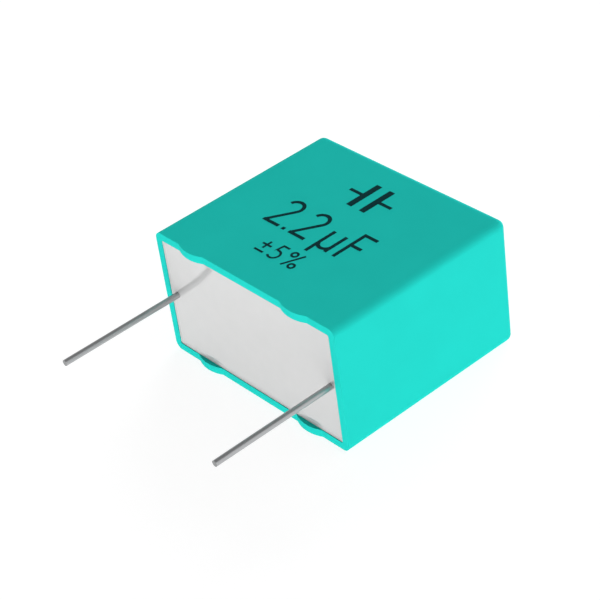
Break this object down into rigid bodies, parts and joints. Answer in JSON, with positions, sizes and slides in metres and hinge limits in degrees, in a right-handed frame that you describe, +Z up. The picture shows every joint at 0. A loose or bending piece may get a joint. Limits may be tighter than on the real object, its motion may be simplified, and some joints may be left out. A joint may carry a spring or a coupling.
{
  "type": "box film capacitor",
  "caption": "Box film capacitor: a rounded plastic case filled with resin round a flattened film roll, with wire leads out of its open side and arc standoffs on the rim.",
  "frame": {"origin": "middle of the large flat side that the part lies on", "axes": "+Z up through the case's thickness, +X along the lead pitch from the left lead to the right one, -Y the way the leads point out of the open side"},
  "size_m": [0.0316, 0.0445, 0.0175],
  "materials": {
    "case_plastic": "satin",
    "resin": "gloss",
    "metallised_film": "gloss",
    "sprayed_zinc": "matte",
    "tinned_wire": "satin"
  },
  "bodies": {
    "root": {"case": "case_plastic", "potting_resin": "resin", "film_winding": "metallised_film", "end_spray_left": "sprayed_zinc", "end_spray_right": "sprayed_zinc", "lead_left": "tinned_wire", "lead_right": "tinned_wire"}
  },
  "joints": []
}
